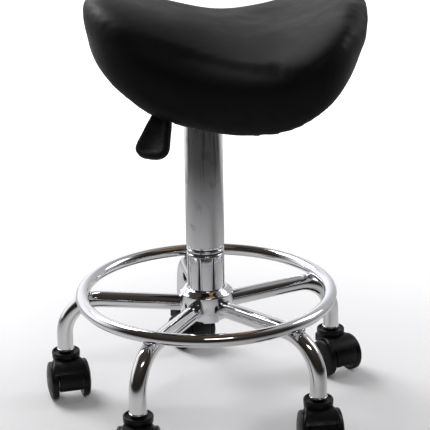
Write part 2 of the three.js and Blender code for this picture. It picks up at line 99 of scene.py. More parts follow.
# ---------------------------------------------------------------- camera
CAMERA_PLACE = (0, -1.9211, 0.9194)
CAMERA_LENS = 129.02
CAMERA_YAW = 0.404  # from +Y toward +X
CAMERA_PITCH = -18.828
CAMERA_ROLL = -1.005


def add_camera():
    data = bpy.data.cameras.new("camera")
    data.lens = CAMERA_LENS
    data.sensor_width = 36
    data.clip_end = 60
    camera = linked("camera", data)
    turn = Matrix.Rotation(math.radians(-CAMERA_YAW), 4, "Z")
    turn @= Matrix.Rotation(math.radians(90 + CAMERA_PITCH), 4, "X")
    turn @= Matrix.Rotation(math.radians(CAMERA_ROLL), 4, "Z")
    camera.matrix_world = Matrix.Translation(CAMERA_PLACE) @ turn
    bpy.context.scene.camera = camera


# ---------------------------------------------------------------- node materials
class Nodes:
    """Helpers that add nodes to one tree, which is emptied first."""

    def __init__(self, tree):
        self.tree = tree
        self.tree.nodes.clear()

    def new(self, kind):
        return self.tree.nodes.new(f"ShaderNode{kind}")

    def link(self, source, target):
        self.tree.links.new(source, target)

    def ranged(self, source, low, high, to_low=0.0, to_high=1.0, easing="LINEAR"):
        node = self.new("MapRange")
        node.interpolation_type = easing
        node.inputs["From Min"].default_value = low
        node.inputs["From Max"].default_value = high
        node.inputs["To Min"].default_value = to_low
        node.inputs["To Max"].default_value = to_high
        self.link(source, node.inputs["Value"])
        return node.outputs["Result"]

    def math(self, operation, a, b):
        node = self.new("Math")
        node.operation = operation
        for socket, value in zip(node.inputs, (a, b)):
            if isinstance(value, (int, float)):
                socket.default_value = value
            else:
                self.link(value, socket)
        return node.outputs["Value"]

    def blended(self, share, first, second):
        node = self.new("Mix")
        node.data_type = "RGBA"
        self.link(share, node.inputs["Factor"])
        for socket, value in ((node.inputs[6], first), (node.inputs[7], second)):
            if isinstance(value, tuple):
                socket.default_value = (*value, 1)
            else:
                self.link(value, socket)
        return node.outputs[2]


class Finish(Nodes):
    """A node material round one Principled shader, with helpers for what feeds it."""

    def __init__(self, name, color, roughness, metallic=0.0, specular=0.5):
        self.material = bpy.data.materials.new(name)
        self.material.use_nodes = True
        super().__init__(self.material.node_tree)
        output = self.new("OutputMaterial")
        self.shader = self.new("BsdfPrincipled")
        self.link(self.shader.outputs["BSDF"], output.inputs["Surface"])
        self.shader.inputs["Base Color"].default_value = (*color, 1)
        self.shader.inputs["Roughness"].default_value = roughness
        self.shader.inputs["Metallic"].default_value = metallic
        self.shader.inputs["Specular IOR Level"].default_value = specular
        self.coordinates = self.new("TexCoord").outputs["Object"]

    def stretched(self, stretch):
        node = self.new("Mapping")
        node.inputs["Scale"].default_value = stretch
        self.link(self.coordinates, node.inputs["Vector"])
        return node.outputs["Vector"]

    def noise(self, scale, detail=3, stretch=(1, 1, 1), distortion=0.0):
        node = self.new("TexNoise")
        node.inputs["Scale"].default_value = scale
        node.inputs["Detail"].default_value = detail
        node.inputs["Distortion"].default_value = distortion
        self.link(self.stretched(stretch), node.inputs["Vector"])
        return node.outputs["Fac"]

    def cells(self, scale, feature="F1", stretch=(1, 1, 1)):
        node = self.new("TexVoronoi")
        node.feature = feature
        node.inputs["Scale"].default_value = scale
        self.link(self.stretched(stretch), node.inputs["Vector"])
        return node.outputs["Distance"]

    def height(self):
        node = self.new("SeparateXYZ")
        self.link(self.coordinates, node.inputs["Vector"])
        return node.outputs["Z"]

    def color(self, source):
        self.link(source, self.shader.inputs["Base Color"])
        return self

    def roughness(self, source):
        self.link(source, self.shader.inputs["Roughness"])
        return self

    def bump(self, source, distance, strength=1.0):
        node = self.new("Bump")
        node.inputs["Distance"].default_value = distance
        node.inputs["Strength"].default_value = strength
        self.link(source, node.inputs["Height"])
        earlier = self.shader.inputs["Normal"].links
        if earlier:
            self.link(earlier[0].from_socket, node.inputs["Normal"])
        self.link(node.outputs["Normal"], self.shader.inputs["Normal"])
        return self


def chrome(name, stretch=(1, 1, 1), wave=0.00006):
    finish = Finish(name, (0.8, 0.8, 0.82), 0.05, metallic=1)
    smudge = finish.noise(26, 5, stretch, 0.6)
    finish.roughness(finish.ranged(smudge, 0.35, 0.75, 0.03, 0.13))
    tint = finish.noise(9, 2, stretch)
    finish.color(finish.blended(finish.ranged(tint, 0.3, 0.7), (0.8, 0.81, 0.84), (0.72, 0.71, 0.71)))
    return finish.bump(finish.noise(34, 1, stretch, 0.4), wave)


def column_chrome():
    finish = chrome("chrome_column", (1, 1, 0.25), 0.00008)
    # Painted reflection: orange-brown streaks near the tube's top stand in for the plywood seat board
    # mirrored in the chrome.
    streaks = finish.noise(130, 4, (1, 1, 0.06), 1.2)
    near_top = finish.ranged(finish.height(), 0.3, 0.4)
    painted_board_reflection = finish.math("MULTIPLY", finish.ranged(streaks, 0.55, 0.66), near_top)
    clean = finish.shader.inputs["Base Color"].links[0].from_socket
    spots = finish.ranged(finish.noise(52, 4, (1, 1, 0.7), 0.5), 0.58, 0.68, 0, 0.5)
    spotted = finish.blended(spots, clean, (0.4, 0.39, 0.38))
    return finish.color(finish.blended(painted_board_reflection, spotted, (0.26, 0.18, 0.12)))


def bright_zinc():
    finish = Finish("bright_zinc", (0.62, 0.63, 0.64), 0.3, metallic=1)
    finish.roughness(finish.ranged(finish.noise(180, 4), 0.3, 0.7, 0.2, 0.42))
    finish.color(finish.blended(finish.noise(60, 3), (0.66, 0.67, 0.69), (0.52, 0.51, 0.47)))
    return finish.bump(finish.noise(900, 2), 0.00002)


def black_paint():
    finish = Finish("black_paint", (0.014, 0.014, 0.015), 0.4)
    finish.roughness(finish.ranged(finish.noise(70, 3), 0.3, 0.7, 0.28, 0.5))
    chips = finish.ranged(finish.noise(240, 6), 0.71, 0.74)
    finish.color(finish.blended(chips, (0.014, 0.014, 0.015), (0.09, 0.09, 0.09)))
    return finish.bump(finish.noise(420, 3), 0.00005)


def black_nylon(name, scuffed):
    finish = Finish(name, (0.004, 0.004, 0.0043), 0.34, specular=0.2)
    finish.roughness(finish.ranged(finish.noise(110, 4), 0.3, 0.7, 0.27, 0.46))
    scuffs = finish.ranged(finish.noise(190, 6, (1, 1, 2.5)), 0.56, 0.72, 0, scuffed)
    finish.color(finish.blended(scuffs, (0.004, 0.004, 0.0043), (0.04, 0.04, 0.038)))
    finish.bump(finish.cells(1500), 0.00003, 0.7)
    return finish.bump(finish.noise(300, 2), 0.00002)


def vinyl():
    finish = Finish("black_vinyl", (0.004, 0.0038, 0.0042), 0.55, specular=0.13)
    finish.roughness(finish.ranged(finish.noise(30, 4), 0.3, 0.7, 0.48, 0.58))
    finish.color(finish.blended(finish.noise(14, 3), (0.003, 0.0028, 0.0032), (0.0058, 0.0054, 0.006)))
    finish.bump(finish.noise(20, 3, (1, 1, 1), 0.5), 0.0007, 0.4)
    finish.bump(finish.cells(620, "SMOOTH_F1"), 0.00012, 0.5)
    return finish.bump(finish.noise(1500, 3), 0.00003)


def plywood():
    finish = Finish("plywood", (0.5, 0.33, 0.17), 0.7, specular=0.3)
    grain = finish.noise(26, 6, (0.5, 9, 9), 1.4)
    fibres = finish.noise(160, 4, (0.25, 8, 8), 0.3)
    base = finish.blended(finish.ranged(grain, 0.3, 0.7), (0.52, 0.35, 0.19), (0.33, 0.19, 0.09))
    finish.color(finish.blended(finish.ranged(fibres, 0.5, 0.8, 0, 0.6), base, (0.2, 0.11, 0.05)))
    finish.roughness(finish.ranged(fibres, 0.3, 0.7, 0.6, 0.82))
    return finish.bump(fibres, 0.0002)


def dark_plastic(name, color, roughness, specular=0.4):
    finish = Finish(name, color, roughness, specular=specular)
    lighter = tuple(min(1.0, 1.7 * channel + 0.004) for channel in color)
    finish.color(finish.blended(finish.ranged(finish.noise(80, 4), 0.4, 0.75), color, lighter))
    finish.roughness(finish.ranged(finish.noise(150, 3), 0.3, 0.7, roughness - 0.1, roughness + 0.12))
    return finish.bump(finish.noise(700, 3), 0.00004)


CHROME = chrome("chrome_plate").material
COLUMN = column_chrome().material
ZINC = bright_zinc().material
PAINT = black_paint().material
HOOD = black_nylon("black_nylon", 0.15).material
GRIP = dark_plastic("grip_plastic", (0.004, 0.004, 0.0043), 0.55, 0.15).material
TREAD = black_nylon("black_nylon_tread", 0.45).material
VINYL = vinyl().material
PLYWOOD = plywood().material
BUSH_AND_GROOVE_SHADE = dark_plastic("bush_plastic", (0.02, 0.02, 0.021), 0.5).material
RUBBER = dark_plastic("rubber", (0.012, 0.012, 0.012), 0.75).material


# ---------------------------------------------------------------- mesh helpers
class Shape:
    """Vertices and faces in mm, gathered from closed parts and then made into one mesh."""

    def __init__(self):
        self.points = []
        self.faces = []

    def add(self, points, faces, turn=None):
        start = len(self.points)
        placed = [Vector(point) for point in points]
        if turn is not None:
            placed = [turn @ point for point in placed]
        self.points += placed
        self.faces += [[start + corner for corner in face] for face in faces]
        return self

    def mesh(self, name, smooth=35):
        made = bpy.data.meshes.new(name)
        made.from_pydata([point * MM for point in self.points], [], self.faces)
        work = bmesh.new()
        work.from_mesh(made)
        bmesh.ops.recalc_face_normals(work, faces=work.faces)
        work.to_mesh(made)
        work.free()
        made.polygons.foreach_set("use_smooth", [True] * len(made.polygons))
        made.set_sharp_from_angle(angle=math.radians(smooth))
        return made


def filleted(corners, radius, steps=3, closed=True):
    """A profile whose corners are rounded; a corner may give its own radius as a third number."""
    points = []
    count = len(corners)
    for i, corner in enumerate(corners):
        here = Vector(corner[:2])
        size = corner[2] if len(corner) > 2 else radius
        ends = not closed and i in (0, count - 1)
        if ends or size == 0:
            points.append(tuple(here))
            continue
        before = Vector(corners[i - 1][:2]) - here
        after = Vector(corners[(i + 1) % count][:2]) - here
        start = here + before.normalized() * min(size, 0.45 * before.length)
        end = here + after.normalized() * min(size, 0.45 * after.length)
        for k in range(steps + 1):
            s = k / steps
            points.append(tuple((1 - s) ** 2 * start + 2 * s * (1 - s) * here + s * s * end))
    return points


def ring_faces(rings, closed):
    pairs = list(zip(rings, rings[1:]))
    if closed:
        pairs.append((rings[-1], rings[0]))
    faces = []
    for low, high in pairs:
        count = max(len(low), len(high))
        for i in range(count):
            j = (i + 1) % count
            quad = [low[i % len(low)], low[j % len(low)], high[j % len(high)], high[i % len(high)]]
            face = [corner for k, corner in enumerate(quad) if corner not in quad[:k]]
            if len(face) > 2:
                faces.append(face)
    return faces


def strung(rings, start=0):
    """The points of some equal rings in a row, and the numbers of each ring's points."""
    points = [tuple(point) for ring in rings for point in ring]
    count = len(rings[0])
    return points, [list(range(start + k * count, start + (k + 1) * count)) for k in range(len(rings))]


def capped(rings):
    """Points and faces of a skin through rings, with a flat cap at each end."""
    points, numbered = strung(rings)
    return points, [*ring_faces(numbered, False), numbered[0][::-1], numbered[-1]]


def lathe(profile, sides=64, closed=True):
    """Points and faces turned about Z from [radius, z]; a radius of 0 becomes a single pole."""
    points = []
    rings = []
    for radius, z in profile:
        count = 1 if radius < 1e-6 else sides
        rings.append(list(range(len(points), len(points) + count)))
        for i in range(count):
            angle = 2 * math.pi * i / sides
            points.append((radius * math.cos(angle), radius * math.sin(angle), z))
    return points, ring_faces(rings, closed)


def turned(profile, radius=0.5, sides=64, steps=3):
    """A ring or tube of revolution, from a closed profile that stays off the axis."""
    return lathe(filleted(profile, radius, steps), sides)


def turned_mesh(name, profile, sides, radius=0.4, steps=3):
    return Shape().add(*turned(profile, radius, sides, steps)).mesh(name)


def turned_solid(profile, radius=0.3, sides=32):
    """A solid of revolution, from an open profile that starts and ends on the axis."""
    return lathe(filleted(profile, radius, closed=False), sides, closed=False)


def pin(radius, low, high, edge=0.5, sides=32):
    """A solid round bar on Z with rounded ends."""
    return turned_solid([(0, low), (radius, low), (radius, high), (0, high)], edge, sides)


def bar(section, start, end):
    """A closed section of (y, z) carried straight along X, with flat ends."""
    points = [(x, y, z) for x in (start, end) for y, z in section]
    count = len(section)
    faces = [list(range(count)), list(range(count, 2 * count))]
    faces += [[i, (i + 1) % count, count + (i + 1) % count, count + i] for i in range(count)]
    return points, faces


def swept(stations, section):
    """A closed section of (across, outwards) carried along XZ stations of (x, z, angle below +X)."""
    loops = []
    for x, z, angle in stations:
        ahead, up = math.sin(angle), math.cos(angle)
        loops.append([(x + outwards * ahead, across, z + outwards * up) for across, outwards in section])
    points, rings = strung(loops)
    return points, ring_faces(rings, False), rings


def circle(radius, sides):
    turns = [2 * math.pi * i / sides for i in range(sides)]
    return [(radius * math.cos(turn), radius * math.sin(turn)) for turn in turns]


def bent(start, level, bend, turn, drop, steps):
    """Stations of a straight, an arc that turns down by turn, and a straight of length drop."""
    stations = [(start, 0, 0), (start + 0.3, 0, 0), (level - 0.5, 0, 0)]
    for i in range(steps + 1):
        angle = turn * i / steps
        stations.append((level + bend * math.sin(angle), -bend * (1 - math.cos(angle)), angle))
    x, z, angle = stations[-1]
    for past in (drop - 0.3, drop):
        stations.append((x + past * math.cos(angle), z - past * math.sin(angle), angle))
    return stations


def rounded_box(low, high, edge=0.8, segments=2):
    """A box with rounded edges between two corners, in mm."""
    work = bmesh.new()
    bmesh.ops.create_cube(work, size=1)
    middle = (Vector(low) + Vector(high)) / 2
    size = Vector(high) - Vector(low)
    for vertex in work.verts:
        vertex.co = middle + Vector([a * b for a, b in zip(vertex.co, size)])
    bmesh.ops.bevel(work, geom=work.edges[:], offset=edge, segments=segments, affect="EDGES")
    work.verts.index_update()
    points = [tuple(vertex.co) for vertex in work.verts]
    faces = [[vertex.index for vertex in face.verts] for face in work.faces]
    work.free()
    return points, faces


def prism(outline, low, high, edge=0.6):
    """An outline in XY raised from low to high, with its rims rounded."""
    rings = []
    for z, inset in ((low, edge), (low + edge * 0.3, edge * 0.3), (low + edge, 0), (high - edge, 0),
                     (high - edge * 0.3, edge * 0.3), (high, edge)):
        rings.append([(*point, z) for point in inset_outline(outline, inset)])
    return capped(rings)


def inset_outline(outline, inset):
    """A counter-clockwise outline moved in by inset along its own normals."""
    moved = []
    for i, point in enumerate(outline):
        before = Vector(outline[i - 1])
        after = Vector(outline[(i + 1) % len(outline)])
        along = (after - before).normalized()
        moved.append((point[0] - along.y * inset, point[1] + along.x * inset))
    return moved


def place(name, mesh, material, body, nodes=(), where=Matrix.Identity(4)):
    """A piece of the object: its mesh, where it stands, what it rides on and what it stands for."""
    mesh.materials.clear()
    mesh.materials.append(material)
    piece = linked(name, mesh)
    piece.matrix_world = where
    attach(piece, body)
    if nodes:
        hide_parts(*nodes)
    return piece


def keep(node, material):
    """A CAD node that shows as it is, with its finish."""
    for slot in frame["nodes"][node].material_slots:
        slot.material = material


def clamped(value):
    """A value held between 0 and 1."""
    return min(max(value, 0), 1)


def about_z(degrees):
    return Matrix.Rotation(math.radians(degrees), 4, "Z")


LIE_ALONG_Y = Matrix.Rotation(math.radians(-90), 4, "X")


# ---------------------------------------------------------------- base
leg_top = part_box("leg_1")[1].z / MM
LEG_AXIS = leg_top - LEG_RADIUS
leg_places = [Vector(joints[f"caster_swivel_{n}"]["pos_m"]) for n in LEGS]
leg_turns = [math.degrees(math.atan2(spot.y, spot.x)) for spot in leg_places]
STEM_CIRCLE = leg_places[0].to_2d().length / MM


def applied(piece):
    """The mesh that a piece's modifiers make."""
    graph = bpy.context.evaluated_depsgraph_get()
    return bpy.data.meshes.new_from_object(piece.evaluated_get(graph))


def cut_by(mesh, cutters, edge):
    """A mesh less some closed shapes, with the new sharp edges rounded."""
    whole = linked("cutting", mesh)
    tools = []
    for cutter in cutters:
        tool = linked("tool", cutter)
        tools.append(tool)
        modifier = whole.modifiers.new("cut", "BOOLEAN")
        modifier.operation = "DIFFERENCE"
        modifier.object = tool
        modifier.solver = "EXACT"
    bevel = whole.modifiers.new("edge", "BEVEL")
    bevel.width = edge * MM
    bevel.segments = 2
    bevel.limit_method = "ANGLE"
    bevel.angle_limit = math.radians(40)
    made = applied(whole)
    for tool in [whole, *tools]:
        bpy.data.objects.remove(tool)
    made.polygons.foreach_set("use_smooth", [True] * len(made.polygons))
    made.set_sharp_from_angle(angle=math.radians(40))
    return made


def add_hub():
    """The cast hub: a ring with a slot for each leg, round at its top and open below."""
    low, high = (corner.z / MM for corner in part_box("hub"))
    top = low + HUB_LOBE_HEIGHT
    corners = [(HUB_BORE, low), (34.3, low, 0), (HUB_RADIUS, low + 1.6, 0), (HUB_RADIUS, top - 2, 1.2),
               (33, top, 1.2), (28.2, high - 0.2, 1.2), (HUB_BORE, high)]
    body = turned_mesh("hub", corners, 90, 0.5)
    half = LEG_RADIUS + 0.5
    below = LEG_AXIS - 30
    arch = [(-half * math.cos(a), LEG_AXIS + half * math.sin(a)) for a in np.linspace(0, math.pi, 17)]
    slot = bar([(-half, below), *arch, (half, below)], SLOT_START, SLOT_END)
    cutters = [Shape().add(*slot, about_z(turn)).mesh("slot") for turn in leg_turns]
    place("hub_casting", cut_by(body, cutters, 0.7), CHROME, "base", ["hub"])


def add_sleeve():
    """The taper sleeve, with its tapering flutes cut as rounded V grooves."""
    low, high = (corner.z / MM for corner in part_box("taper_sleeve"))
    full = SLEEVE_RADIUS
    # Each row is a height, the sleeve's radius there, and the share of the flutes' depth that is cut.
    rows = [(low, 24.6, 0), (low + 0.4, full, 0), (167, full, 0), (167.8, full, 0.8), (169, full, 1)]
    rows += [(z, full, 1) for z in range(173, 211, 4)]
    rows += [(210.6, full, 1), (211.4, full, 0.7), (212, full, 0), (213.6, full, 0), (214.2, 24.8, 0),
             (214.8, 24, 0), (217.3, 24, 0), (217.7, 24.7, 0), (218.2, full, 0), (220, full, 0),
             (220.7, 24.7, 0), (high, 24, 0)]
    # Across a flute: the place in half widths from its middle, and the share of the depth.
    groove = [(-1.25, 0), (-1, 0.1), (-0.8, 0.85), (0, 1), (0.8, 0.85), (1, 0.1), (1.25, 0)]
    pitch = 2 * math.pi / FLUTE_COUNT
    shape = []
    for z, radius, cut in rows:
        width = FLUTE_NARROW + (FLUTE_WIDE - FLUTE_NARROW) * (FLUTE_TOP - z) / FLUTE_LENGTH
        edge = min(max(width, FLUTE_NARROW), FLUTE_WIDE) / 2 / SLEEVE_RADIUS
        ring = []
        for flute in range(FLUTE_COUNT):
            middle = math.radians(FLUTE_PHASE) + pitch * flute
            for at, depth in groove:
                angle = middle + at * edge
                sunk = radius - FLUTE_DEPTH * depth * cut
                ring.append((sunk * math.cos(angle), sunk * math.sin(angle), z))
            for k in range(1, 8):
                angle = middle + 1.25 * edge + (pitch - 2.5 * edge) * k / 8
                ring.append((radius * math.cos(angle), radius * math.sin(angle), z))
        shape.append(ring)
    for z in (high - 0.2, low):
        angles = [math.atan2(point[1], point[0]) for point in shape[0]]
        shape.append([(22.5 * math.cos(angle), 22.5 * math.sin(angle), z) for angle in angles])
    points, rings = strung(shape)
    mesh = Shape().add(points, ring_faces(rings, True)).mesh("sleeve", 50)
    place("fluted_sleeve", mesh, CHROME, "base", ["taper_sleeve"])
    # Painted shade: the deepest faces of the flutes and of the neck groove take the dark bush plastic in
    # place of the shade in these recesses.
    mesh.materials.append(BUSH_AND_GROOVE_SHADE)
    for face in mesh.polygons:
        centre = face.center / MM
        deep = centre.to_2d().length < 24.1
        flute = 168 < centre.z < 211.5
        neck = 214.9 < centre.z < 217.2
        face.material_index = int(deep and (flute or neck))


def add_column():
    """The lift's standing tube and the bush in its mouth."""
    low, high = (corner.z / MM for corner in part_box("stand_tube"))
    tube = [(5.5, low), (21.4, low), (22, 214), (22, 222.5, 0.3), (24.2, 222.5, 1), (TUBE_RADIUS, 224.6, 1.4),
            (TUBE_RADIUS, high, 0.7), (23.4, high, 0.5), (23.4, 230), (19.5, 226), (19.5, low + 4),
            (5.5, low + 4)]
    tube_mesh = turned_mesh("tube", tube, 96, steps=4)
    place("lift_tube", tube_mesh, COLUMN, "base", ["stand_tube"])
    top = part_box("guide_bush")[1].z / MM
    bush = [(14.3, 350), (23, 350), (23, high + 0.3, 0.1), (25.3, high + 0.3, 0.3), (25.3, top - 1, 0.6),
            (23.9, top, 0.6), (15.5, top, 0.5), (14.3, top - 1.4)]
    place("bush", turned_mesh("bush", bush, 72), BUSH_AND_GROOVE_SHADE, "base", ["guide_bush"])


def leg_mesh():
    """A leg's tube, with a short open bore in each end."""
    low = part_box("leg_1")[0].z / MM
    drop = LEG_AXIS - LEG_BEND - low
    stations = bent(LEG_START, STEM_CIRCLE - LEG_BEND, LEG_BEND, math.pi / 2, drop, 26)
    points, faces, rings = swept(stations, circle(LEG_RADIUS, LEG_SIDES))
    bore = circle(LEG_RADIUS - LEG_WALL, LEG_SIDES)
    trim = circle(LEG_RADIUS - 0.25, LEG_SIDES)
    hub_end = (rings[0], stations[0], (LEG_START + 12, 0, 0))
    stem_end = (rings[-1], stations[-1], stations[-3])
    for outside, station, inside in (hub_end, stem_end):
        loops = [outside]
        for section, where in ((trim, station), (bore, station), (bore, inside)):
            loops.append(list(range(len(points), len(points) + LEG_SIDES)))
            points += swept([where], section)[0]
        faces += ring_faces(loops, False)
        faces.append(loops[-1])
    return Shape().add(points, faces).mesh("leg", 50)


def add_legs():
    leg = leg_mesh()
    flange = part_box("leg_socket_1")
    low, high = flange[0].z / MM, flange[1].z / MM
    socket = [(5.9, low, 0.3), (10.6, low, 0.8), (12, low + 0.9, 0.8), (11.6, low + 1.8, 0.6),
              (8.8, low + 1.8, 0.3), (8.8, high), (5.9, high)]
    socket_mesh = turned_mesh("socket", socket, 48)
    for n, turn, spot in zip(LEGS, leg_turns, leg_places):
        where = about_z(turn) @ Matrix.Translation((0, 0, LEG_AXIS * MM))
        place(f"leg_tube_{n}", leg, CHROME, "base", [f"leg_{n}"], where)
        foot = Matrix.Translation((spot.x, spot.y, 0))
        place(f"stem_socket_{n}", socket_mesh, CHROME, "base", [f"leg_socket_{n}"], foot)


def add_foot_ring():
    """The foot ring, with a weld bead where it lies on each leg."""
    low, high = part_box("foot_ring")
    tube = (high.z - low.z) / 2 / MM
    radius = (high.x - low.x) / 2 / MM - tube
    middle = (high.z + low.z) / 2 / MM
    section = [(radius + r, middle + z) for r, z in circle(tube, 36)]
    place("ring_tube", Shape().add(*lathe(section, 192)).mesh("ring", 60), CHROME, "base",
          ["foot_ring"])
    beads = Shape()
    ring_path = circle(1, 28)
    for turn in leg_turns:
        loops = []
        for a, b in ring_path:
            loop = []
            lump = 1.5 + 0.25 * math.sin(9 * math.atan2(b, a))
            for c, d in circle(lump, 8):
                reach = 1 + c / 9
                level = middle - tube + 0.9 * b * b + d * 0.8 + 0.6
                loop.append((radius + 7.2 * a * reach, 4.6 * b * reach, level))
            loops.append(loop)
        points, rings = strung(loops)
        beads.add(points, ring_faces(rings, True), about_z(turn))
    place("ring_welds", beads.mesh("welds", 60), CHROME, "base")


# ---------------------------------------------------------------- casters
# A caster is drawn with its stem on the Z axis, trailing to +X.
ON_AXLE = Matrix.Translation((TRAIL, 0, WHEEL_RADIUS)) @ LIE_ALONG_Y


def arc_band(section_at, start, end, steps):
    """A section of (radius, y), which may vary along the way, swept round the axle between two angles."""
    rings = []
    for i in range(steps + 1):
        angle = math.radians(start + (end - start) * i / steps)
        x, z = math.cos(angle), math.sin(angle)
        section = section_at(i / steps)
        rings.append([(TRAIL + radius * x, y, WHEEL_RADIUS + radius * z) for radius, y in section])
    return capped(rings)


def band_section(inner, outer, half, edge):
    return filleted([(inner, -half), (outer, -half), (outer, half), (inner, half)], edge, 3)


def panel_section(share):
    """The smooth panel between the wheels, thicker from its lower edge up to the shoulders."""
    return band_section(21.8, 25.4 + 3 * min(1, share / 0.42), PANEL_HALF, 0.9)


def shield_section(share):
    """The shoulders that reach over both wheels, drawn in towards the collar."""
    half = 24.2 - 5.2 * clamped((share - 0.15) / 0.5)
    corners = [(26.5, -half), (27.4, -half - 0.2), (28.6, -half + 1.8), (28.7, half - 1.8),
               (27.4, half + 0.2), (26.5, half), (26.5, 16.2), (24.6, 16.1), (24.6, -16.1), (26.5, -16.2)]
    return filleted(corners, 0.7, 3)


def hood_mesh():
    """A caster's hood: collar and neck round the stem, then what curves round the axle."""
    hood = Shape()
    collar = [(5.9, 36), (9.5, 34, 1), (16, 43, 3), (16.3, 52.6, 0.4), (19, 53.4, 0.4), (19.4, 61, 0.6),
              (18.6, 62.5, 0.8), (17, 62.5, 0.4), (16.4, 59.6, 0.8), (11, 59.6, 0.5), (10.4, 62, 0.4),
              (8.6, 62.2, 0.4), (5.9, 62.2, 0.3)]
    hood.add(*turned(collar, 0.4, 56))
    hood.add(*rounded_box((-16.4, -16.4, 39), (17, 16.4, 54.6), 2.6, 4))
    lower_edge = band_section(21.2, 26.3, PANEL_HALF, 1.1)
    web = band_section(6, 24.6, 4.5, 0.8)
    hood.add(*arc_band(panel_section, -15, 128, 40))
    hood.add(*arc_band(lambda _: lower_edge, -16.5, -11, 4))
    hood.add(*arc_band(shield_section, 36, 131, 30))
    hood.add(*arc_band(lambda _: web, 0, 125, 24))
    rib = band_section(12, 24.6, 0.9, 0.3)
    for y in (-10.5, 10.5):
        moved = [(radius, y + side) for radius, side in rib]
        hood.add(*arc_band(lambda _, moved=moved: moved, 20, 124, 18))
    boss = [(AXLE_BORE, -8), (9, -8, 0.6), (9, 8, 0.6), (AXLE_BORE, 8)]
    hood.add(*turned(boss, 0.4, 40), ON_AXLE)
    return hood.mesh("hood", 38)


def wheel_mesh(side):
    """A wheel on the +Y side (1) or the -Y side (-1): a tread, a domed face and a cap in its middle."""
    bore = [(0, 25.2), (AXLE_BORE, 25.2, 0.2), (AXLE_BORE, WHEEL_INNER, 0.4), (6.4, WHEEL_INNER, 0.4)]
    web = [(6.4, 19.6, 0.6), (21.4, 19.6, 0.8), (22.4, WHEEL_INNER, 0.6), (25, WHEEL_INNER, 0.8)]
    tread = [(WHEEL_RADIUS, 17.8, 0.8), (WHEEL_RADIUS, 24.2, 1.2), (25.2, 25.4, 0.9), (24.6, 26, 0.5)]
    face = [(23.9, 25.9, 0.3), (23.4, 26.5, 0.4), (20.6, 27.3, 1.6), (15.2, 28.5, 0.5)]
    cap = [(14.8, 28.1, 0.2), (14.2, 28.6, 0.3), (7, WHEEL_OUTER - 0.15, 3), (0, WHEEL_OUTER)]
    on_side = Matrix.Translation((TRAIL, 0, WHEEL_RADIUS)) @ Matrix.Rotation(math.radians(-90 * side), 4, "X")
    solid = turned_solid([*bore, *web, *tread, *face, *cap], 0.5, 72)
    return Shape().add(*solid, on_side).mesh("wheel", 38)


def stem_mesh(low, high):
    """A grip stem with its flange, and a groove near its top for the ring that holds it."""
    flange = low + 22.5
    corners = [(0, low), (5.5, low, 0.4), (5.5, flange, 0.2), (9, flange, 0.5), (9, flange + 1.6, 0.5),
               (5.5, flange + 1.6, 0.2), (5.5, high - 7, 0.3), (5, high - 6.4, 0.3), (5, high - 4.6, 0.3),
               (5.5, high - 4, 0.3), (5.5, high - 2, 0.8), (4, high, 0.4), (0, high)]
    return Shape().add(*turned_solid(corners, 0.3, 40)).mesh("stem")


def add_casters():
    stem_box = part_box("caster_stem_1")
    stem = stem_mesh(stem_box[0].z / MM, stem_box[1].z / MM)
    hood = hood_mesh()
    wheels = {"a": wheel_mesh(1), "b": wheel_mesh(-1)}
    axle = Shape().add(*pin(4, -24.6, 24.6, 0.8), ON_AXLE).mesh("axle")
    for n, spot in zip(LEGS, leg_places):
        low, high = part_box(f"caster_axle_{n}")
        behind = (low + high) / 2 - spot
        turn = math.degrees(math.atan2(behind.y, behind.x))
        where = Matrix.Translation((spot.x, spot.y, 0)) @ about_z(turn)
        body = f"caster_{n}"
        place(f"fork_hood_{n}", hood, HOOD, body, [f"caster_hood_{n}"], where)
        place(f"grip_stem_{n}", stem, ZINC, body, [f"caster_stem_{n}"], where)
        place(f"axle_pin_{n}", axle, ZINC, body, [f"caster_axle_{n}"], where)
        for side, mesh in wheels.items():
            place(f"wheel_{side}_{n}", mesh, TREAD, f"wheel_{side}_{n}",
                  [f"caster_wheel_{side}_{n}"], where)


# ---------------------------------------------------------------- seat frame and lever
def add_cylinder():
    low, high = (corner.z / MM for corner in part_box("gas_cylinder"))
    corners = [(5.3, low, 0.3), (12.4, low, 1.2), (14, low + 1.6, 0.6), (14, low + 5, 0.3),
               (13.5, low + 5.6, 0.3), (13.5, low + 7, 0.3), (14, low + 7.6, 0.3), (14, high - 24, 0.4),
               (13.3, high, 0.6), (3.3, high, 0.3), (3.3, high - 6), (12, high - 10), (12, low + 6),
               (5.3, low + 6)]
    mesh = turned_mesh("cylinder", corners, 72, 0.3)
    place("lift_cylinder", mesh, PAINT, "seat", ["gas_cylinder"])


def add_plate():
    """The pressed seat plate: a rounded plate with two stiffening ribs, the lever channel and the cone."""
    low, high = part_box("seat_plate")
    top = high.z / MM
    under = top - PLATE_THICKNESS
    middle = (low.x + high.x) / 2 / MM
    half_x = (high.x - low.x) / 2 / MM
    half_y = (high.y - low.y) / 2 / MM
    signs = ((-1, -1), (1, -1), (1, 1), (-1, 1))
    corners = [(middle + across * half_x, along * half_y) for across, along in signs]
    plate = Shape()
    plate.add(*prism(filleted(corners, 16, 8), under, top))
    for y in (-50, 50):
        low_corner, high_corner = (middle - 40, y - 2.2, under - 1.6), (middle + 40, y + 2.2, under + 1)
        plate.add(*rounded_box(low_corner, high_corner, 1.2, 3))
    brim = top - 1.4
    floor = CHANNEL_FLOOR
    section = [(-23, brim), (-23, floor + 2), (-21.3, floor), (21.3, floor), (23, floor + 2), (23, brim),
               (20.2, brim), (20.2, floor + 3.6), (19.4, floor + 2.8), (-19.4, floor + 2.8),
               (-20.2, floor + 3.6), (-20.2, brim)]
    plate.add(*bar(filleted(section, 1.2, 3), -31.9, 43.9), about_z(LEVER_TURN))
    cone = [(14.4, 418.2), (18.5, 418.2, 0.6), (18.5, 433, 3), (21, 437.6, 1), (14, 437.6, 0.5)]
    plate.add(*turned(cone, 0.4, 56))
    place("mount_plate", plate.mesh("plate", 38), PAINT, "seat", ["seat_plate"])


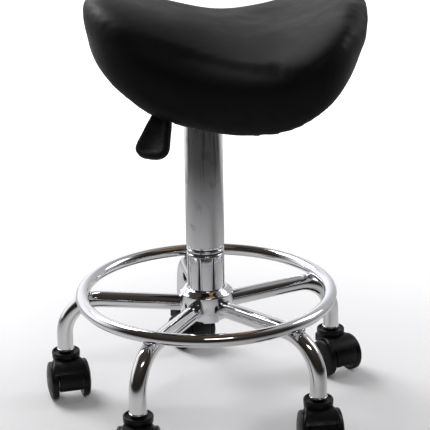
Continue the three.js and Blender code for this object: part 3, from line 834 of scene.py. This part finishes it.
def add_screws():
    """Flanged hexagon screws with a domed face."""
    low, high = (corner.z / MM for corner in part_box("seat_screw_1"))
    head = low + 4
    flange = [(0.1, head), (0.1, head - 1.2), (6.2, head - 1.1, 0.4), (6.5, head - 0.05, 0.2)]
    hexagon = [(0, low + 0.3), (3.4, low), (4.6, low + 0.5), (5, low + 1), (5, head - 0.9), (0, head - 0.9)]
    screw = Shape()
    screw.add(*turned(flange, 0.2, 40))
    screw.add(*lathe(hexagon, 6, closed=False))
    screw.add(*pin(3, head - 0.5, high, 1.2))
    mesh = screw.mesh("screw", 30)
    for n in range(1, 5):
        low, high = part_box(f"seat_screw_{n}")
        middle = (low + high) / 2
        place(f"plate_screw_{n}", mesh, ZINC, "seat", [f"seat_screw_{n}"],
              Matrix.Translation((middle.x, middle.y, 0)))


def add_lever():
    """The lever, drawn along +X from the column's axis: a tongue in the channel, a bent rod, the paddle."""
    pivot = Vector(joints["lever_tilt"]["pos_m"])
    where = Matrix.Translation((0, 0, pivot.z)) @ about_z(LEVER_TURN)
    reach = pivot.to_2d().length / MM
    slope = math.radians(LEVER_SLOPE)
    bend_end = LEVER_LEVEL + LEVER_BEND * math.sin(slope)
    drop = (GRIP_START + GRIP_OVERLAP - bend_end) / math.cos(slope)
    arm = Shape()
    points, faces, rings = swept(bent(44, LEVER_LEVEL, LEVER_BEND, slope, drop, 14), circle(4, 24))
    arm.add(points, [*faces, rings[0][::-1], rings[-1]])
    arm.add(*rounded_box((-6, -3, -6), (48, 3, 6), 1, 3))
    tube = [(3.4, -19.5, 0.3), (5.5, -19.5, 0.6), (5.5, 19.5, 0.6), (3.4, 19.5, 0.3)]
    arm.add(*turned(tube, 0.3, 32), Matrix.Translation((reach, 0, 0)) @ LIE_ALONG_Y)
    place("lever_rod", arm.mesh("lever", 40), PAINT, "lever", ["lever_arm"], where)
    fall = LEVER_BEND * (1 - math.cos(slope)) + (GRIP_START - bend_end) * math.tan(slope)
    add_grip(where @ Matrix.Translation((GRIP_START * MM, 0, -fall * MM)) @ Matrix.Rotation(slope, 4, "Y"))
    corners = [(0, -25.3), (4, -25.3, 0.5), (4.2, -23.4, 0.3), (3, -23.3, 0.2), (3, 23.3, 0.2),
               (5, 23.4, 0.3), (5, 24.3, 0.5), (3.4, 25.5, 0.8), (0, 25.5)]
    across = Matrix.Translation((reach, 0, 0)) @ Matrix.Rotation(math.radians(90), 4, "X")
    rivet = Shape().add(*turned_solid(corners, 0.3, 32), across).mesh("rivet")
    place("pivot_rivet", rivet, ZINC, "lever", ["lever_pivot_pin"], where)


def add_grip(where):
    """The paddle: a moulded blade with a raised border, a sunk middle and a thick neck round the rod."""
    half_outline = [(GRIP_LENGTH - 0.1, 8), (76.5, 16), (70, 21.6), (58, 21), (38, 16.5), (14, 11), (0, 8.5)]
    mirrored = [(x, -y) for x, y in reversed(half_outline)]
    outline = filleted([*mirrored, (GRIP_LENGTH, 0), *half_outline], 5, 3)
    # From the middle of the blade's thickness up to its sunk face: a height, and the inset there.
    upper = [(2.9, 0.1), (4.8, 1.3), (5.2, 3.2), (5.2, 5.6), (4.6, 7)]
    lower = [(-z, inset) for z, inset in reversed(upper)]
    rings = []
    for z, inset in [*lower, (0, 0), *upper]:
        ring = []
        for x, y in inset_outline(outline, inset):
            lump = 0.35 * math.sin(x / 4.5) * max(0.0, abs(y) / 22)
            ring.append((min(max(x, 0.2), GRIP_LENGTH), y + lump * (1 if y > 0 else -1), z))
        rings.append(ring)
    grip = Shape().add(*capped(rings))
    neck = [(4.3, 0, 0.4), (6, 0, 0.8), (6, 18, 2), (4.8, 26, 1), (4.3, 26, 0.3)]
    grip.add(*turned(neck, 0.4, 32), Matrix.Rotation(math.radians(90), 4, "Y"))
    place("lever_paddle", grip.mesh("grip", 38), GRIP, "lever", ["lever_grip"], where)


# ---------------------------------------------------------------- saddle
# These surfaces are the CAD's: t goes round the seat from the cantle (0) by the +Y flap to the pommel
# (pi), and share goes out from the middle (0) to the widest line (1).
cover_low, cover_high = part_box("seat_cover")
MIDDLE = (cover_low.x + cover_high.x) / 2 / MM
HALF_LENGTH = (cover_high.x - cover_low.x) / 2 / MM
HALF_WIDTH = 172
RIM_LOW = 417
SIDE_HEIGHT = 55
UNDERSIDE = 469
DIP_X = 79  # where the ridge is lowest
DIP_LEVEL = 524
BOARD = 0.7  # the board's edge, as a share
BOARD_THICKNESS = 8.5

# The cushion's simulation, in metres but for the first two.
SUNK = 2.6  # mm inside the cover that the skin starts
HELD_FROM_RING = 27  # from this ring in, the underside and the board's recess don't move
VOXEL = 0.0055
SWELL_LIMIT = 0.005


def outline(t, share=1.0):
    c = np.cos(t)
    wide = 1 + 0.43 * c + 0.53 * c * c
    return MIDDLE + share * HALF_LENGTH * c, share * HALF_WIDTH * np.sin(t) * wide


def rim(t):
    c = np.cos(t)
    return RIM_LOW + np.where(c < 0, 62, 72) * np.abs(c) ** 2.4


def top_point(t, share):
    x, y = outline(t, share)
    level = rim(t) + SIDE_HEIGHT
    away = x - DIP_X
    ridge = DIP_LEVEL + np.where(away < 0, 0.001, 0.0032) * away**2
    power = 2.1 + 1.5 * np.cos(t) ** 2
    return np.stack([x, y, level + (ridge - level) * (1 - share**power) ** (1 / power)], -1)


def side_point(t, turn):
    x, y = outline(t, 1 - 0.12 * (1 - math.cos(turn * math.pi / 2)))
    return np.stack([x, y, rim(t) + SIDE_HEIGHT * (1 - math.sin(turn * math.pi / 2))], -1)


def under_point(t, share, lift=0.0):
    x, y = outline(t, share)
    bend = clamped((share - 0.58) / 0.34)
    bend = (bend * bend * (3 - 2 * bend)) ** 1.5
    return np.stack([x, y, UNDERSIDE + lift + (rim(t) + 2 - UNDERSIDE) * bend], -1)


TURNS = np.linspace(0, 2 * math.pi, 128, endpoint=False)


def ring_skin(rings, first, last):
    """A closed skin through rings of points, with a pole at each end."""
    between, numbered = strung(rings, 1)
    return [first, *between, last], ring_faces([[0], *numbered, [len(between) + 1]], False)


def cushion_rings(depth):
    """Rings of the padding's outside from the crown to the board's edge, sunk by depth."""
    shrink = 1 - depth / HALF_WIDTH

    def sunk(ring, lift):
        moved = ring.copy()
        moved[:, 0] = MIDDLE + (ring[:, 0] - MIDDLE) * shrink
        moved[:, 1] = ring[:, 1] * shrink
        moved[:, 2] += lift * depth
        return moved

    shares = [0.04, 0.1, 0.18, 0.26, 0.34, 0.42, 0.5, 0.58, 0.66, 0.73, 0.8, 0.86, 0.91, 0.95, 0.98,
              0.995]
    rings = [sunk(top_point(TURNS, share), -1) for share in shares]
    sides = np.linspace(0, 1, 9)
    rings += [sunk(side_point(TURNS, turn), -1) for turn in sides]
    rings += [under_point(TURNS, share, depth) for share in (0.85, 0.82, 0.78, 0.74, BOARD + 0.01)]
    return rings


def relaxed(piece, loose, reach):
    """Blows a closed skin up a little as cloth, outwards only, by no more than reach."""
    start = np.array([vertex.co for vertex in piece.data.vertices])
    held = piece.vertex_groups.new(name="held")
    for i, share in enumerate(loose):
        held.add([i], float(1 - share), "REPLACE")
    cloth = piece.modifiers.new("cloth", "CLOTH")
    settings = cloth.settings
    settings.quality = 5
    settings.mass = 0.3
    settings.tension_stiffness = 12
    settings.compression_stiffness = 12
    settings.shear_stiffness = 6
    settings.bending_stiffness = 0.6
    settings.use_pressure = True
    settings.uniform_pressure_force = 4
    settings.effector_weights.gravity = 0
    settings.vertex_group_mass = "held"
    scene = bpy.context.scene
    for step in range(1, 21):
        scene.frame_set(step)
    graph = bpy.context.evaluated_depsgraph_get()
    blown = piece.evaluated_get(graph).to_mesh()
    after = np.array([vertex.co for vertex in blown.vertices])
    piece.modifiers.remove(cloth)
    piece.vertex_groups.clear()
    scene.frame_set(1)
    outwards = np.array([vertex.normal for vertex in piece.data.vertices])
    swell = np.clip(((after - start) * outwards).sum(axis=1), 0, reach) * loose
    piece.data.vertices.foreach_set("co", (start + outwards * swell[:, None]).ravel())


def creased(mesh, share):
    """Moves the skin along its normals for slack in the flaps and the pull of the vinyl at the rim."""
    normals = [vertex.normal.copy() for vertex in mesh.vertices]
    for vertex, normal, loose in zip(mesh.vertices, normals, share):
        x, y, z = vertex.co
        turn = math.atan2(y / 0.2, x - MIDDLE * MM)
        low = clamped((0.475 - z) / 0.03)
        gather = math.sin(46 * turn + 5 * noise.noise(vertex.co * 18)) * low * 0.0004
        slack = noise.noise(Vector((x * 14, y * 14, z * 26))) * 0.00045
        drawn = noise.noise(Vector((x * 55 + z * 60, y * 10, z * 24))) * 0.0005 * low
        vertex.co += normal * (gather + slack + drawn) * float(loose)


def add_cushion():
    """The padded saddle: the CAD's skin, remeshed, blown up as cloth and creased; it stands on the board."""
    rings = cushion_rings(SUNK)
    over = BOARD_THICKNESS + 0.6
    rings += [under_point(TURNS, share, over) for share in (BOARD + 0.01, 0.6, 0.45, 0.3, 0.15)]
    crown = (MIDDLE, 0, float(top_point(np.array([math.pi / 2]), 0.0)[0, 2]) - SUNK)
    shape = Shape().add(*ring_skin(rings, crown, (MIDDLE, 0, UNDERSIDE + over)))
    source = shape.mesh("padding", 180)
    tree = kdtree.KDTree(len(shape.points))
    for i, point in enumerate(shape.points):
        tree.insert(point * MM, i)
    tree.balance()
    held_from = 1 + HELD_FROM_RING * len(TURNS)
    piece = linked("saddle_cushion", source)

    def freedom():
        """1 for each vertex that may move, and 0 where the skin is held."""
        near = [tree.find(vertex.co)[1] for vertex in piece.data.vertices]
        return np.array([0.0 if i >= held_from else 1.0 for i in near])

    remesh = piece.modifiers.new("remesh", "REMESH")
    remesh.mode = "VOXEL"
    remesh.voxel_size = VOXEL
    piece.data = applied(piece)
    piece.modifiers.clear()
    relaxed(piece, freedom(), SWELL_LIMIT)
    smooth = piece.modifiers.new("smooth", "SMOOTH")
    smooth.factor = 0.5
    smooth.iterations = 3
    divide = piece.modifiers.new("divide", "SUBSURF")
    divide.levels = 1
    divide.render_levels = 1
    piece.data = applied(piece)
    piece.modifiers.clear()
    creased(piece.data, freedom())
    piece.data.polygons.foreach_set("use_smooth", [True] * len(piece.data.polygons))
    piece.data.materials.clear()
    piece.data.materials.append(VINYL)
    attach(piece, "seat")
    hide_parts("seat_cover", "seat_foam")


def add_board():
    shares = [0.2, 0.4, 0.58, 0.62, 0.66, 0.69, 0.697]
    under = [under_point(TURNS, share) for share in shares] + [under_point(TURNS, BOARD, 1)]
    over = [under_point(TURNS, BOARD, BOARD_THICKNESS - 1)]
    over += [under_point(TURNS, share, BOARD_THICKNESS) for share in reversed(shares)]
    ends = [(MIDDLE, 0, UNDERSIDE), (MIDDLE, 0, UNDERSIDE + BOARD_THICKNESS)]
    mesh = Shape().add(*ring_skin([*under, *over], *ends)).mesh("board", 50)
    place("ply_board", mesh, PLYWOOD, "seat", ["seat_board"])


def add_hem():
    """The vinyl's edge, turned under the board in small pleats and stapled."""
    rings = []
    outside = ((0.8, 0.9), (0.76, -0.4), (0.73, -0.9), (0.7, -1), (0.67, -0.9), (0.64, -0.8), (0.622, -0.7))
    inside = ((0.622, -0.1), (0.64, -0.1), (0.67, -0.1), (0.7, -0.1), (0.73, 0.1), (0.76, 0.7), (0.8, 2))
    for share, lift in outside:
        ring = under_point(TURNS, share, lift)
        tuck = max(0.0, 1 - abs(share - 0.69) / 0.07)
        ring[:, 2] -= tuck * 0.7 * (0.5 + 0.5 * np.sin(32 * TURNS)) ** 2
        rings.append(ring)
    rings += [under_point(TURNS, share, lift) for share, lift in inside]
    points, numbered = strung(rings)
    hem = Shape().add(points, ring_faces(numbered, True)).mesh("hem", 70)
    place("seat_hem", hem, VINYL, "seat")
    staples = Shape()
    staple_count = 44
    for i in range(staple_count):
        t = np.array([2 * math.pi * (i + 0.5) / staple_count])
        here = under_point(t, 0.645, -1.35)[0]
        ahead = under_point(t + 0.05, 0.645, -1.35)[0]
        turn = math.degrees(math.atan2(ahead[1] - here[1], ahead[0] - here[0]))
        wire = rounded_box((-5, -0.6, -0.35), (5, 0.6, 0.5), 0.25, 1)
        staples.add(*wire, Matrix.Translation(here) @ about_z(turn + 14 * math.sin(5 * i)))
    place("hem_staples", staples.mesh("staples"), ZINC, "seat")


# ---------------------------------------------------------------- studio
def add_floor():
    """A pale floor that glows a little with distance. Glossy rays see it darker, and by where it is: the
    share that they see falls off round the object and grows again behind it."""
    data = bpy.data.meshes.new("floor")
    half = 15
    corners = [(-half, -half, 0), (half, -half, 0), (half, half, 0), (-half, half, 0)]
    data.from_pydata(corners, [], [[0, 1, 2, 3]])
    floor = linked("floor", data)
    paper = Finish("paper", (0.9, 0.9, 0.915), 0.9, specular=0.1)
    split = paper.new("SeparateXYZ")
    paper.link(paper.coordinates, split.inputs["Vector"])
    length = paper.new("VectorMath")
    length.operation = "LENGTH"
    paper.link(paper.coordinates, length.inputs[0])
    distance = length.outputs["Value"]
    near = paper.math("POWER", paper.ranged(distance, 0.3, 1.4, 0.9, 0.3), 2)
    behind = paper.ranged(split.outputs["Y"], 0.15, 1.1, 0, 0.9)
    seen_in_chrome = paper.math("MAXIMUM", near, behind)
    shine = paper.new("LightPath").outputs["Is Glossy Ray"]
    mottled = paper.blended(paper.noise(3.2, 4), (0.92, 0.92, 0.935), (0.86, 0.86, 0.875))
    paper.color(paper.blended(shine, mottled, seen_in_chrome))
    paper.shader.inputs["Emission Color"].default_value = (0.98, 0.98, 0.99, 1)
    not_in_chrome = paper.math("SUBTRACT", 1.0, shine)
    glow = paper.math("MULTIPLY", paper.ranged(distance, 0.15, 1.5, 0.02, 0.8), not_in_chrome)
    paper.link(glow, paper.shader.inputs["Emission Strength"])
    data.materials.append(paper.material)


def add_light(name, where, size, power, color=(1, 1, 1), aim=(0, 0, 0.35)):
    data = bpy.data.lights.new(name, "AREA")
    data.shape = "RECTANGLE"
    data.size, data.size_y = size
    data.energy = power
    data.color = color
    lamp = linked(name, data)
    lamp.location = where
    lamp.rotation_euler = (Vector(aim) - Vector(where)).to_track_quat("-Z", "Y").to_euler()


def add_studio():
    """The lights and the world: flat white to the camera, and to other rays light behind the object and
    dark above and in front, which is what the chrome's bands are."""
    world = bpy.data.worlds.new("studio")
    bpy.context.scene.world = world
    world.use_nodes = True
    nodes = Nodes(world.node_tree)
    background = nodes.new("Background")
    nodes.link(background.outputs["Background"], nodes.new("OutputWorld").inputs["Surface"])
    split = nodes.new("SeparateXYZ")
    nodes.link(nodes.new("TexCoord").outputs["Generated"], split.inputs["Vector"])

    def eased(axis, low, high):
        return nodes.ranged(split.outputs[axis], low, high, easing="SMOOTHSTEP")

    backdrop = nodes.blended(eased("Z", 0.35, 0.75), (1.2, 1.2, 1.23), (0.07, 0.062, 0.055))
    room = nodes.blended(eased("Z", 0.1, 0.9), (0.02, 0.016, 0.013), (0.05, 0.043, 0.037))
    lit = nodes.blended(eased("X", -0.3, 0.6), backdrop, (0.5, 0.5, 0.51))
    around = nodes.blended(eased("Y", -0.25, 0.35), room, lit)
    camera_ray = nodes.new("LightPath").outputs["Is Camera Ray"]
    nodes.link(nodes.blended(camera_ray, around, (0.98, 0.98, 0.99)), background.inputs["Color"])
    add_light("key", (-1.5, 1.5, 2.3), (1.5, 1.3), 62)
    add_light("fill", (2.3, 0.9, 1.8), (0.9, 1.4), 16, (0.97, 0.98, 1))
    add_light("front", (0.5, -2.4, 2.9), (1.2, 0.35), 12)


add_camera()
add_hub()
add_sleeve()
add_column()
add_legs()
add_foot_ring()
add_casters()
add_cylinder()
add_plate()
add_screws()
add_lever()
add_cushion()
add_board()
add_hem()
for node in ("lower_race", "upper_race", "ball_cage", "piston_rod", "rod_clip", "release_pin"):
    keep(node, ZINC)
keep("bump_stop", RUBBER)
keep("piston", BUSH_AND_GROOVE_SHADE)
add_floor()
add_studio()
bpy.context.scene.view_settings.view_transform = "Standard"
